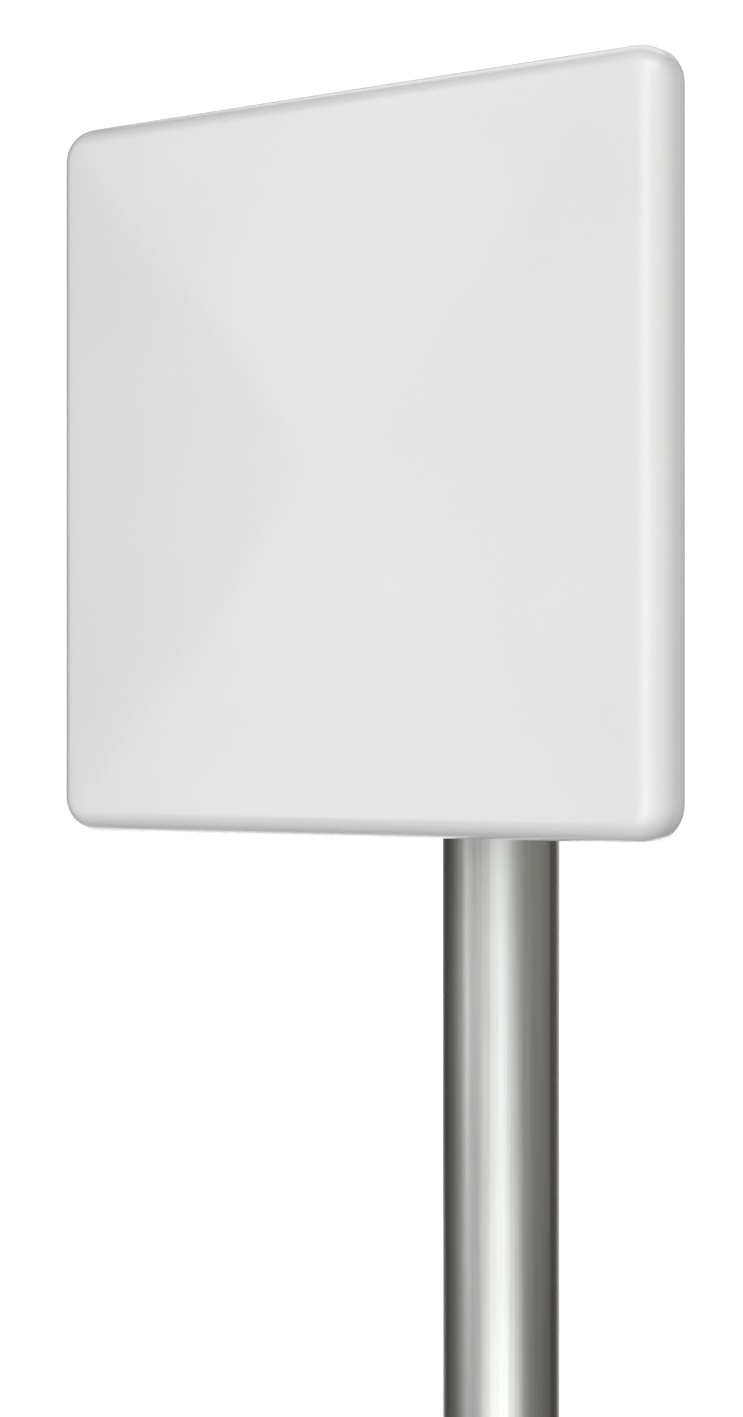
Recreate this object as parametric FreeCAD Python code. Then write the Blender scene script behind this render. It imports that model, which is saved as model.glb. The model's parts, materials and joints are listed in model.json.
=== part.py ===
import FreeCAD, Part
import math, os

# Flat panel antenna on a two-inch mast, held by a bracket that slides, swivels and tilts.
#
# Millimetres, +Z up along the mast. The origin is the centre of the mast's foot. The antenna looks along -Y.
# Each function makes one group of pieces, and every piece is written to parts/ as its own STEP file.
# Bolts and studs are plain shanks at their thread's outer diameter.

V = FreeCAD.Vector
X_AXIS, Y_AXIS, Z_AXIS = V(1, 0, 0), V(0, 1, 0), V(0, 0, 1)

# ---- driving dimensions ----
PANEL_SIDE = 305.0  # twelve-inch square panel
PANEL_BOTTOM = 266.0  # height of its lower edge above the mast's foot
RIM_DEPTH = 20.0  # from the rear edge to where the crown starts
CROWN = 5.0  # rise of the shallow four-sided crown
CORNER_R = 15.0  # corners of the square outline
EDGE_R = 9.0  # rounding of the front edge
STANDOFF = 119.4  # mast axis to the plane where the crown starts

MAST_OD = 50.8
MAST_WALL = 2.0
MAST_TOP = 500.0

SWIVEL_Y = -54.0  # upright pivot, in front of the mast
TILT_Y = -80.0  # level pivot, in front of that
TILT_TRAVEL = 20.0  # degrees either way, which the lock slots allow

# ---- places worked out from them ----
MID_Z = PANEL_BOTTOM + PANEL_SIDE / 2
FRONT_Y = -STANDOFF
BACK_Y = FRONT_Y + RIM_DEPTH
MAST_R = MAST_OD / 2
GAP = 0.3  # between pieces that move past each other
PIVOT_PLAY = 0.08  # radial play of a bolt that something turns on
TAP_PLAY = 0.05  # radial play of a screw in its own thread

# ---- housing ----
FRONT_WALL = 2.5
SIDE_WALL = 4.0
LIP = 1.5  # wall that stands round the back plate
PLATE_T = 2.0
GASKET_T = 1.0
LEDGE_Y = BACK_Y - PLATE_T - GASKET_T
BOSS_R = 4.0
EDGE_BOSS = PANEL_SIDE / 2 - SIDE_WALL - BOSS_R + 0.4
CORNER_BOSS = PANEL_SIDE / 2 - 10.0
BOSS_SPACING = 50.0
COVER_SCREW_HOLE_R = 1.7
COVER_PILOT_R = 1.25

# ---- radiator ----
PATCH = 50.0
PATCH_PITCH = 72.0
SHEET_T = 0.8
SPACER_H = 6.0
SPACER_R = 4.0
FEED_LINE = 6.0
SHEET_Y = BACK_Y - PLATE_T - SPACER_H  # rear face of the radiator sheet
COAX_R = 1.8
COAX_BEND = 12.0

# ---- connector, on the back plate beside the mast ----
SOCKET_X = -PATCH_PITCH
SOCKET_Z = MID_Z - 105.0
SOCKET_THREAD_R = 7.94
SOCKET_BORE_R = 4.05
FLANGE = 25.4
FLANGE_T = 2.8
FLANGE_HOLES = 9.1
SOCKET_GASKET_T = 0.8
BARREL = 16.2

# ---- brackets ----
ARM_T = 2.5  # antenna bracket sheet
YOKE_T = 3.0
CLAMP_T = 3.0
YOKE_HALF = 24.0  # outer half width and half height of the yoke
YOKE_FRONT = TILT_Y + 11.0
YOKE_REAR = YOKE_FRONT + YOKE_T
WASHER_GAP = 1.3  # nylon washer and its play, between two bracket arms
WASHER_T = 1.0
ARM_R = 11.0
LOCK_RADIUS = 16.0  # tilt pivot to lock bolt
LOCK_BOSS_R = 7.0
FOLD_R = 2.0  # inside radius of a fold
STUD_X, STUD_Z = 16.0, 38.0
U_BOLT_Z = 40.0
U_BOLT_ROD_R = 4.0
U_BOLT_BEND_R = MAST_R + GAP + U_BOLT_ROD_R
SADDLE_FRONT = -(MAST_R + 11.6)
CLAMP_FRONT = SADDLE_FRONT - CLAMP_T
M8_R, M6_R, M5_R, M3_R = 4.0, 3.0, 2.5, 1.5


# ---- shapes used more than once ----
def box(x0, x1, y0, y1, z0, z1):
    return Part.makeBox(x1 - x0, y1 - y0, z1 - z0, V(x0, y0, z0))


def rod(radius, start, end):
    return Part.makeCylinder(radius, (end - start).Length, start, end - start)


def place(shape, point, direction):
    """Turns a shape made along +Z to point along direction, and moves its origin to point."""
    moved = shape.copy()
    moved.Placement = FreeCAD.Placement(point, FreeCAD.Rotation(Z_AXIS, direction))
    return moved


def fuse(shapes):
    return shapes[0].multiFuse(shapes[1:]).removeSplitter()


def cut(shape, tools):
    return shape.cut(Part.makeCompound(tools))


def edges_along(shape, direction):
    """Straight edges parallel to direction."""
    straight = [e for e in shape.Edges if e.Curve.TypeId == "Part::GeomLine"]
    return [e for e in straight if abs(e.tangentAt(e.FirstParameter).dot(direction)) > 0.999]


def slab(width, height, corner, y0, y1, x=0.0, z=MID_Z):
    """Upright plate from y0 to y1 with rounded corners."""
    plain = box(x - width / 2, x + width / 2, y0, y1, z - height / 2, z + height / 2)
    return plain.makeFillet(corner, edges_along(plain, Y_AXIS))


def flat(points, travel):
    """Extrudes a closed polygon."""
    return Part.Face(Part.makePolygon(points + points[:1])).extrude(travel)


def hex_prism(across_flats, height):
    """Hexagon along +Z with both ends' corners turned off."""
    circle_r = across_flats / math.sqrt(3)
    corners = [V(circle_r * math.cos(a), circle_r * math.sin(a), 0) for a in sixths()]
    crown = (circle_r - across_flats / 2) * 0.9
    turned = [
        V(0, 0, 0),
        V(across_flats / 2, 0, 0),
        V(circle_r, 0, crown * 0.6),
        V(circle_r, 0, height - crown * 0.6),
        V(across_flats / 2, 0, height),
        V(0, 0, height),
    ]
    return flat(corners, V(0, 0, height)).common(revolve(turned))


def fold(shape, points, axis, radius):
    """Rounds the straight edges along axis that pass through any of the points."""
    chosen = []
    for point in points:
        chosen += [e for e in edges_along(shape, axis) if (e.CenterOfMass - point).cross(axis).Length < 0.01]
    return shape.makeFillet(radius, chosen)


def sixths():
    return [math.radians(60 * n) for n in range(6)]


def revolve(points):
    """Turns a closed profile in the XZ plane round Z."""
    return Part.Face(Part.makePolygon(points + points[:1])).revolve(V(0, 0, 0), Z_AXIS, 360)


def shank(radius, length):
    """Round bar along +Z with a chamfered tip."""
    tip = radius * 0.2
    profile = [V(0, 0, 0), V(radius, 0, 0), V(radius, 0, length - tip), V(radius - tip, 0, length)]
    return revolve(profile + [V(0, 0, length)])


def hex_bolt(radius, across_flats, head, length):
    """Head below z = 0, shank above it."""
    return fuse([hex_prism(across_flats, head).translated(V(0, 0, -head)), shank(radius, length)])


def nut(radius, across_flats, height):
    return hex_prism(across_flats, height).cut(rod(radius, V(0, 0, -1), V(0, 0, height + 1)))


def ring(inner, outer, height):
    return rod(outer, V(0, 0, 0), V(0, 0, height)).cut(rod(inner, V(0, 0, -1), V(0, 0, height + 1)))


def pan_screw(radius, head_r, head, length):
    """Domed head below z = 0 with a cross recess, shank above it."""
    dome = rod(head_r, V(0, 0, -head), V(0, 0, 0))
    top = [e for e in dome.Edges if e.Curve.TypeId == "Part::GeomCircle" and e.CenterOfMass.z < -head / 2]
    dome = dome.makeFillet(head * 0.55, top)
    arm, width, floor = head_r * 0.55, head_r * 0.14, -head * 0.45
    cross = [box(-arm, arm, -width, width, -head, floor), box(-width, width, -arm, arm, -head, floor)]
    return fuse([cut(dome, cross), shank(radius, length)])


def grid(xs, zs, y):
    return [V(x, y, MID_Z + z) for x in xs for z in zs]


def group(shapes):
    return Part.makeCompound(shapes)


# ---- mast ----
def mast_parts():
    outer = rod(MAST_R, V(0, 0, 0), V(0, 0, MAST_TOP))
    tube = outer.cut(rod(MAST_R - MAST_WALL, V(0, 0, -1), V(0, 0, MAST_TOP + 1)))
    skirt, wall, top = 15.0, 1.7, 2.5
    inner_r = MAST_R + 0.1
    cap = rod(inner_r + wall, V(0, 0, MAST_TOP - skirt), V(0, 0, MAST_TOP + top))
    rim = [e for e in cap.Edges if e.CenterOfMass.z > MAST_TOP + top - 0.1]
    cap = cap.makeFillet(2.0, rim).cut(rod(inner_r, V(0, 0, MAST_TOP - skirt - 1), V(0, 0, MAST_TOP)))
    return {"mast_tube": tube, "mast_cap": cap}


# ---- clamp on the mast ----
def clamp_bracket():
    """Plate with two lugs folded forward out of its middle, which leave a window."""
    half_x, half_z, lug_half = 46.0, 54.0, 12.0
    lug_low = YOKE_HALF + WASHER_GAP
    plate = slab(2 * half_x, 2 * half_z, 8.0, CLAMP_FRONT, SADDLE_FRONT)
    window = slab(2 * lug_half + 1, 2 * lug_low, 3.0, CLAMP_FRONT - 1, SADDLE_FRONT + 1)
    body = [plate.cut(window)]
    inside = []
    for side in (1, -1):
        low, high = sorted((MID_Z + side * lug_low, MID_Z + side * (lug_low + CLAMP_T)))
        lug = box(-lug_half, lug_half, SWIVEL_Y, SADDLE_FRONT, low, high)
        outside = V(0, SADDLE_FRONT, MID_Z + side * lug_low)
        body.append(fold(lug, [outside], X_AXIS, CLAMP_T - 0.1))
        body.append(rod(lug_half, V(0, SWIVEL_Y, low), V(0, SWIVEL_Y, high)))
        inside.append(V(0, CLAMP_FRONT, MID_Z + side * (lug_low + CLAMP_T)))
    bent = fold(fuse(body), inside, X_AXIS, FOLD_R)
    holes = [
        rod(U_BOLT_ROD_R + 0.5, p, p + V(0, 2 * CLAMP_T, 0))
        for p in grid((-U_BOLT_BEND_R, U_BOLT_BEND_R), (-U_BOLT_Z, U_BOLT_Z), CLAMP_FRONT - 1)
    ]
    pivot = rod(M8_R + PIVOT_PLAY, V(0, SWIVEL_Y, MID_Z - 40), V(0, SWIVEL_Y, MID_Z + 40))
    return cut(bent, holes + [pivot])


def saddle(z):
    """Cast V-block with toothed faces that grip the mast."""
    half_x, half_z, horn_y = 40.0, 9.0, -14.0
    slope = math.radians(30)
    apex_y = -(MAST_R + GAP) / math.cos(slope)
    pitch, depth, teeth = 3.0, 0.9, 7
    right = []
    for n in range(teeth):
        for along, sunk in ((n * pitch + 4.0, 0.0), (n * pitch + 5.5, depth)):
            x = along * math.cos(slope) + sunk * math.sin(slope)
            right.append((x, apex_y + along * math.sin(slope) - sunk * math.cos(slope)))
    horn_x = (horn_y - apex_y) / math.tan(slope)
    right += [(horn_x, horn_y), (half_x - 6, horn_y), (half_x, horn_y - 6), (half_x, SADDLE_FRONT)]
    outline = [(0, apex_y)] + right + [(-x, y) for x, y in reversed(right)]
    block = flat([V(x, y, z - half_z) for x, y in outline], V(0, 0, 2 * half_z))
    sides = (-U_BOLT_BEND_R, U_BOLT_BEND_R)
    return cut(block, [rod(U_BOLT_ROD_R + 0.4, V(x, SADDLE_FRONT - 1, z), V(x, 0, z)) for x in sides])


def u_bolt(z):
    """Bar bent round the back of the mast, with both legs running forward through the clamp."""
    bend, end_y = U_BOLT_BEND_R, CLAMP_FRONT - 14.0
    centre = V(0, 0, z)
    section = Part.Wire(Part.makeCircle(U_BOLT_ROD_R, centre + V(bend, 0, 0), Y_AXIS))
    half_ring = Part.Face(section).revolve(centre, Z_AXIS, 180)
    legs = [place(shank(U_BOLT_ROD_R, -end_y), centre + V(x, 0, 0), V(0, -1, 0)) for x in (bend, -bend)]
    return fuse([half_ring] + legs)


def clamp_parts():
    washer_t, nut_h = 1.6, 6.5
    legs = grid((-U_BOLT_BEND_R, U_BOLT_BEND_R), (-U_BOLT_Z, U_BOLT_Z), CLAMP_FRONT)
    forward = V(0, -1, 0)
    washer = ring(M8_R + 0.3, 8.0, washer_t)
    flange_nut = nut(M8_R, 13.0, nut_h)
    lug_out = YOKE_HALF + WASHER_GAP + CLAMP_T
    head_at = V(0, SWIVEL_Y, MID_Z + lug_out + washer_t)
    foot_at = V(0, SWIVEL_Y, MID_Z - lug_out - washer_t)
    down = V(0, 0, -1)
    swivel_length = 2 * (lug_out + washer_t) + 10.5
    swivel_washer = ring(M8_R + 0.2, 8.0, washer_t)
    washers_at = (head_at, foot_at + Z_AXIS * washer_t)
    return {
        "clamp_bracket": clamp_bracket(),
        "upper_saddle": saddle(MID_Z + U_BOLT_Z),
        "lower_saddle": saddle(MID_Z - U_BOLT_Z),
        "upper_u_bolt": u_bolt(MID_Z + U_BOLT_Z),
        "lower_u_bolt": u_bolt(MID_Z - U_BOLT_Z),
        "u_bolt_washers": group([place(washer, p, forward) for p in legs]),
        "u_bolt_nuts": group([place(flange_nut, p + forward * washer_t, forward) for p in legs]),
        "swivel_bolt": place(hex_bolt(M8_R, 13.0, 5.3, swivel_length), head_at, down),
        "swivel_washers": group([place(swivel_washer, p, down) for p in washers_at]),
        "swivel_nut": place(nut(M8_R, 13.0, 8.0), foot_at, down),
    }


# ---- swivel yoke ----
def yoke():
    """Square web. Two level arms go to the rear for the swivel, and two upright ones forward for the tilt."""
    h, t = YOKE_HALF, YOKE_T
    lock_z = MID_Z - LOCK_RADIUS
    body = [box(-h, h, YOKE_FRONT, YOKE_REAR, MID_Z - h, MID_Z + h)]
    rear_folds, front_folds = [], []
    for side in (1, -1):
        low, high = sorted((MID_Z + side * (h - t), MID_Z + side * h))
        body.append(box(-ARM_R, ARM_R, YOKE_FRONT, SWIVEL_Y, low, high))
        body.append(rod(ARM_R, V(0, SWIVEL_Y, low), V(0, SWIVEL_Y, high)))
        left, right = sorted((side * (h - t), side * h))
        body.append(rod(ARM_R, V(left, TILT_Y, MID_Z), V(right, TILT_Y, MID_Z)))
        body.append(rod(LOCK_BOSS_R, V(left, TILT_Y, lock_z), V(right, TILT_Y, lock_z)))
        body.append(box(left, right, TILT_Y, YOKE_REAR, lock_z - LOCK_BOSS_R, MID_Z + ARM_R))
        body.append(box(left, right, TILT_Y - LOCK_BOSS_R, TILT_Y, lock_z, MID_Z))
        rear_folds.append(V(0, YOKE_REAR, MID_Z + side * (h - t)))
        front_folds.append(V(side * (h - t), YOKE_FRONT, 0))
    bent = fold(fold(fuse(body), rear_folds, X_AXIS, FOLD_R), front_folds, Z_AXIS, FOLD_R)
    swivel = rod(M8_R + PIVOT_PLAY, V(0, SWIVEL_Y, MID_Z - 40), V(0, SWIVEL_Y, MID_Z + 40))
    tilt = rod(M8_R + PIVOT_PLAY, V(-40, TILT_Y, MID_Z), V(40, TILT_Y, MID_Z))
    lock = rod(M6_R + 0.1, V(-40, TILT_Y, lock_z), V(40, TILT_Y, lock_z))
    return cut(bent, [swivel, tilt, lock])


def yoke_parts():
    """The lock bolts stay in the yoke. Their nuts press on the antenna bracket's slotted arms."""
    lock_at = V(0, TILT_Y, MID_Z - LOCK_RADIUS)
    arm_out = YOKE_HALF + WASHER_GAP + ARM_T
    inner = YOKE_HALF - YOKE_T
    washer_t, nut_h = 1.6, 5.0
    bolts, washers, nuts = [], [], []
    for side in (1, -1):
        out = V(side, 0, 0)
        bolts.append(place(hex_bolt(M6_R, 10.0, 4.0, arm_out + 9.0 - inner), lock_at + out * inner, out))
        washers.append(place(ring(M6_R + 0.2, 6.2, washer_t), lock_at + out * (arm_out + GAP), out))
        nuts.append(place(nut(M6_R, 10.0, nut_h), lock_at + out * (arm_out + GAP + washer_t), out))
    swivel_washer = ring(M8_R + 0.2, 9.0, WASHER_T)
    tops = (V(0, SWIVEL_Y, MID_Z + YOKE_HALF), V(0, SWIVEL_Y, MID_Z - YOKE_HALF - WASHER_T))
    return {
        "swivel_yoke": yoke(),
        "swivel_spacers": group([place(swivel_washer, p, Z_AXIS) for p in tops]),
        "tilt_lock_bolts": group(bolts),
        "tilt_lock_washers": group(washers),
        "tilt_lock_nuts": group(nuts),
    }


# ---- antenna bracket ----
def lock_slot(x0, x1):
    """Curved slot round the tilt pivot, with round ends, for a lock bolt."""
    half, reach = M6_R + 0.3, TILT_TRAVEL + 1.0
    centre = V(x0, TILT_Y, MID_Z)

    def at(radius, degrees):
        a = math.radians(degrees)
        return centre + V(0, radius * math.cos(a), radius * math.sin(a))

    def arc(radius, a0, a1):
        return Part.Arc(at(radius, a0), at(radius, (a0 + a1) / 2), at(radius, a1)).toShape()

    def end(degrees, sense):
        middle = at(LOCK_RADIUS, degrees)
        a = math.radians(degrees + sense * 90)
        tip = middle + V(0, half * math.cos(a), half * math.sin(a))
        return at(LOCK_RADIUS - half, degrees), tip, at(LOCK_RADIUS + half, degrees)

    low, high = -90 - reach, -90 + reach
    a, tip_a, b = end(high, 1)
    c, tip_c, d = end(low, -1)
    wire = Part.Wire(
        [
            arc(LOCK_RADIUS - half, low, high),
            Part.Arc(a, tip_a, b).toShape(),
            arc(LOCK_RADIUS + half, high, low),
            Part.Arc(d, tip_c, c).toShape(),
        ]
    )
    return Part.Face(wire).extrude(V(x1 - x0, 0, 0))


def stud_points(y):
    return grid((-STUD_X, STUD_X), (-STUD_Z, STUD_Z), y)


def antenna_bracket():
    """Channel on the back plate. Each arm has the tilt pivot and a curved lock slot."""
    inner = YOKE_HALF + WASHER_GAP
    outer = inner + ARM_T
    base_front, base_rear = BACK_Y, BACK_Y + ARM_T
    rear_y = TILT_Y + 14.5
    profile = [
        (base_front, -38),
        (base_front, 32),
        (base_rear + 3, 32),
        (TILT_Y, 13),
        (rear_y, 13),
        (rear_y, -25),
        (TILT_Y - 4, -25),
        (base_rear + 3, -38),
    ]
    middle = slab(2 * inner + 1, 92.0, 4.0, base_front, base_rear)
    body = [middle, box(-outer, outer, base_front, base_rear, MID_Z - 38, MID_Z + 32)]
    for side in (1, -1):
        arm = flat([V(side * inner, y, MID_Z + z) for y, z in profile], V(side * ARM_T, 0, 0))
        rear = [e for e in edges_along(arm, X_AXIS) if e.CenterOfMass.y > rear_y - 0.1]
        body.append(arm.makeFillet(8.0, rear))
    bent = fuse(body)
    bent = fold(bent, [V(x, base_front, 0) for x in (-outer, outer)], Z_AXIS, ARM_T + 0.5)
    bent = fold(bent, [V(x, base_rear, 0) for x in (-inner, inner)], Z_AXIS, FOLD_R)
    pivot = rod(M8_R + 0.2, V(-40, TILT_Y, MID_Z), V(40, TILT_Y, MID_Z))
    studs = [rod(M6_R + 0.3, p, p + V(0, 9, 0)) for p in stud_points(BACK_Y - 3)]
    light = rod(11.0, V(0, BACK_Y - 3, MID_Z), V(0, BACK_Y + 6, MID_Z))
    return cut(bent, [pivot, lock_slot(-outer - 1, outer + 1), light] + studs)


def bracket_parts():
    washer_t = 1.6
    back = Y_AXIS
    studs_at = stud_points(BACK_Y)
    stud = shank(M6_R, ARM_T + washer_t + 5.0 + 3.0 + PLATE_T)
    on_base = [p + back * ARM_T for p in studs_at]
    outer = YOKE_HALF + WASHER_GAP + ARM_T
    head_at = V(outer + washer_t, TILT_Y, MID_Z)
    tail_at = V(-outer - washer_t, TILT_Y, MID_Z)
    left = V(-1, 0, 0)
    spacer = ring(M8_R + 0.2, 9.0, WASHER_T)
    inner = YOKE_HALF + WASHER_GAP
    return {
        "antenna_bracket": antenna_bracket(),
        "bracket_studs": group([place(stud, p - back * PLATE_T, back) for p in studs_at]),
        "bracket_washers": group([place(ring(M6_R + 0.2, 6.0, washer_t), p, back) for p in on_base]),
        "bracket_nuts": group([place(nut(M6_R, 10.0, 5.0), p + back * washer_t, back) for p in on_base]),
        "tilt_bolt": place(hex_bolt(M8_R, 13.0, 5.3, 2 * (outer + washer_t) + 10.5), head_at, left),
        "tilt_washers": group(
            [place(ring(M8_R + 0.2, 8.0, washer_t), p, left) for p in (head_at, tail_at - left * washer_t)]
        ),
        "tilt_nut": place(nut(M8_R, 13.0, 8.0), tail_at, left),
        "tilt_spacers": group(
            [
                place(spacer, V(inner, TILT_Y, MID_Z), left),
                place(spacer, V(-inner, TILT_Y, MID_Z), X_AXIS),
            ]
        ),
    }


# ---- housing ----
def rounded_block(side, corner, edge_r, y_front, y_back):
    block = slab(side, side, corner, y_front, y_back)
    front = [e for e in block.Edges if abs(e.BoundBox.YMin - y_front) < 1e-6 and e.BoundBox.YLength < 1e-6]
    return block.makeFillet(edge_r, front)


def pyramid(base, height, y):
    """Low four-sided crown on a square base at y, rising along -Y."""
    h = base / 2
    corners = [V(-h, y, MID_Z - h), V(h, y, MID_Z - h), V(h, y, MID_Z + h), V(-h, y, MID_Z + h)]
    apex = V(0, y - height, MID_Z)
    faces = [Part.Face(Part.makePolygon(corners + corners[:1]))]
    for n in range(4):
        a, b = corners[n], corners[(n + 1) % 4]
        faces.append(Part.Face(Part.makePolygon([a, b, apex, a])))
    solid = Part.Solid(Part.Shell(faces))
    if solid.Volume < 0:
        solid.reverse()
    return solid


def boss_points(y):
    """Twelve places round the edge: four corners and two on each side."""
    near = (-BOSS_SPACING, BOSS_SPACING)
    far = (-EDGE_BOSS, EDGE_BOSS)
    corner = (-CORNER_BOSS, CORNER_BOSS)
    return grid(corner, corner, y) + grid(near, far, y) + grid(far, near, y)


def radome():
    side = PANEL_SIDE
    crown_base = side - 2 * EDGE_R - 5.0
    crown = pyramid(crown_base, CROWN, FRONT_Y)
    outer = fuse([rounded_block(side, CORNER_R, EDGE_R, FRONT_Y, BACK_Y), crown])
    inner_side = side - 2 * SIDE_WALL
    inner_front = FRONT_Y + FRONT_WALL
    hollow = fuse(
        [
            rounded_block(inner_side, CORNER_R - SIDE_WALL, EDGE_R - 2.5, inner_front, BACK_Y + 1),
            crown.translated(V(0, FRONT_WALL, 0)),
        ]
    )
    seat = slab(side - 2 * LIP, side - 2 * LIP, CORNER_R - LIP, LEDGE_Y, BACK_Y + 1)
    shell = cut(outer, [hollow]).cut(seat)
    bosses = [rod(BOSS_R, p, V(p.x, LEDGE_Y, p.z)) for p in boss_points(inner_front - 0.1)]
    pilots = [rod(COVER_PILOT_R, p, p - V(0, 11.5, 0)) for p in boss_points(LEDGE_Y)]
    return cut(fuse([shell] + bosses), pilots)


def plate_side():
    return PANEL_SIDE - 2 * LIP - 0.6


def radome_gasket():
    """Flat ring on the housing's ledge, with a round ear at each screw."""
    outer = slab(plate_side(), plate_side(), CORNER_R - LIP, LEDGE_Y, LEDGE_Y + GASKET_T)
    inner_side = PANEL_SIDE - 2 * SIDE_WALL
    inner = slab(inner_side, inner_side, CORNER_R - SIDE_WALL, LEDGE_Y - 1, LEDGE_Y + GASKET_T + 1)
    ears = [rod(BOSS_R, p, p + V(0, GASKET_T, 0)) for p in boss_points(LEDGE_Y)]
    holes = [rod(COVER_SCREW_HOLE_R, p, p + V(0, GASKET_T + 2, 0)) for p in boss_points(LEDGE_Y - 1)]
    return cut(fuse([outer.cut(inner)] + ears), holes)


def back_plate():
    """Aluminium reflector that closes the housing and carries everything else."""
    front = BACK_Y - PLATE_T
    plate = slab(plate_side(), plate_side(), CORNER_R - LIP, front, BACK_Y)
    through = V(0, PLATE_T + 2, 0)
    holes = [rod(COVER_SCREW_HOLE_R, p, p + through) for p in boss_points(front - 1)]
    holes += [rod(M6_R, p, p + through) for p in stud_points(front - 1)]
    holes += [rod(M3_R, p, p + V(0, 2.5, 0)) for p in patch_centres(front - 1)]
    socket = V(SOCKET_X, front - 1, SOCKET_Z)
    holes.append(rod(6.2, socket, socket + through))
    holes += [rod(M3_R, p, p + through) for p in flange_points(front - 1)]
    vent, ground = vent_point(front - 1), ground_point(front - 1)
    return cut(plate, holes + [rod(4.2, vent, vent + through), rod(M5_R, ground, ground + through)])


def housing_parts():
    screw = pan_screw(COVER_PILOT_R - TAP_PLAY, 2.8, 2.0, 12.0)
    return {
        "radome": radome(),
        "radome_gasket": radome_gasket(),
        "back_plate": back_plate(),
        "cover_screws": group([place(screw, p, V(0, -1, 0)) for p in boss_points(BACK_Y)]),
    }


# ---- radiator and feed ----
def patch_centres(y):
    steps = [PATCH_PITCH * (n - 1.5) for n in range(4)]
    return grid(steps, steps, y)


def radiator_sheet():
    """One stamped sheet: sixteen patches and the lines that feed them in step."""
    y = SHEET_Y - SHEET_T
    half, arm, tongue = FEED_LINE / 2, PATCH_PITCH / 2, (PATCH_PITCH - PATCH) / 2 + 2.0

    def strip(x0, x1, z0, z1):
        corners = [V(x0, y, z0), V(x1, y, z0), V(x1, y, z1), V(x0, y, z1)]
        face = Part.Face(Part.makePolygon(corners + corners[:1]))
        return face.translated(V(0, 0, MID_Z))

    def disc(radius, point):
        return Part.Face(Part.Wire(Part.makeCircle(radius, V(point.x, y, point.z), Y_AXIS)))

    sides = [PATCH_PITCH * (n - 1.5) for n in range(4)]
    faces = [strip(x - PATCH / 2, x + PATCH / 2, z - PATCH / 2, z + PATCH / 2) for x in sides for z in sides]
    for x in (-PATCH_PITCH, PATCH_PITCH):
        faces.append(strip(x - half, x + half, -PATCH_PITCH - half, PATCH_PITCH + half))
        for z in (-PATCH_PITCH, PATCH_PITCH):
            faces.append(strip(x - arm - half, x + arm + half, z - half, z + half))
            for end in (x - arm, x + arm):
                faces.append(strip(end - half, end + half, z - tongue, z + tongue))
    faces.append(strip(-PATCH_PITCH, PATCH_PITCH, -half, half))
    holes = [disc(M3_R + 0.1, p) for p in patch_centres(y)]
    outline = faces[0].multiFuse(faces[1:]).cut(Part.makeCompound(holes)).removeSplitter()
    return outline.Faces[0].extrude(V(0, SHEET_T, 0))


def feed_cable():
    """Stiff coaxial line on the back plate, from the connector up and across to the middle of the sheet."""
    y = BACK_Y - PLATE_T - COAX_R - 0.3
    start = V(SOCKET_X, y, SOCKET_Z + 8.0)
    bend_in = V(SOCKET_X, y, MID_Z - COAX_BEND)
    bend_out = V(SOCKET_X + COAX_BEND, y, MID_Z)
    centre = V(SOCKET_X + COAX_BEND, y, MID_Z - COAX_BEND)
    middle = centre + V(-math.sqrt(0.5), 0, math.sqrt(0.5)) * COAX_BEND
    end = V(-4.0, y, MID_Z)
    path = Part.Wire(
        [
            Part.LineSegment(start, bend_in).toShape(),
            Part.Arc(bend_in, middle, bend_out).toShape(),
            Part.LineSegment(bend_out, end).toShape(),
        ]
    )
    profile = Part.Wire(Part.makeCircle(COAX_R, start, Z_AXIS))
    return path.makePipeShell([profile], True, False), start, end


def feed_parts():
    cable, start, end = feed_cable()
    core_r, pin_r = 0.5, 0.6
    tip = V(0, end.y, MID_Z)
    socket_end = V(SOCKET_X, start.y, SOCKET_Z)
    pin = rod(pin_r, tip + Y_AXIS * pin_r, V(0, SHEET_Y, MID_Z))
    cores = [fuse([rod(core_r, end, tip), pin]), rod(core_r, start, socket_end + Z_AXIS * 0.8)]
    plate_front = BACK_Y - PLATE_T
    spacer = ring(M3_R + 0.1, SPACER_R, SPACER_H)
    screw = pan_screw(M3_R - TAP_PLAY, 2.8, 2.0, SHEET_T + SPACER_H + 1.3)
    return {
        "radiator_sheet": radiator_sheet(),
        "radiator_spacers": group([place(spacer, p, V(0, -1, 0)) for p in patch_centres(plate_front)]),
        "radiator_screws": group([place(screw, p, Y_AXIS) for p in patch_centres(SHEET_Y - SHEET_T)]),
        "feed_cable": cable,
        "feed_cores": group(cores),
    }


# ---- connector ----
def flange_points(y):
    return [
        V(SOCKET_X + dx, y, SOCKET_Z + dz)
        for dx in (-FLANGE_HOLES, FLANGE_HOLES)
        for dz in (-FLANGE_HOLES, FLANGE_HOLES)
    ]


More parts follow.
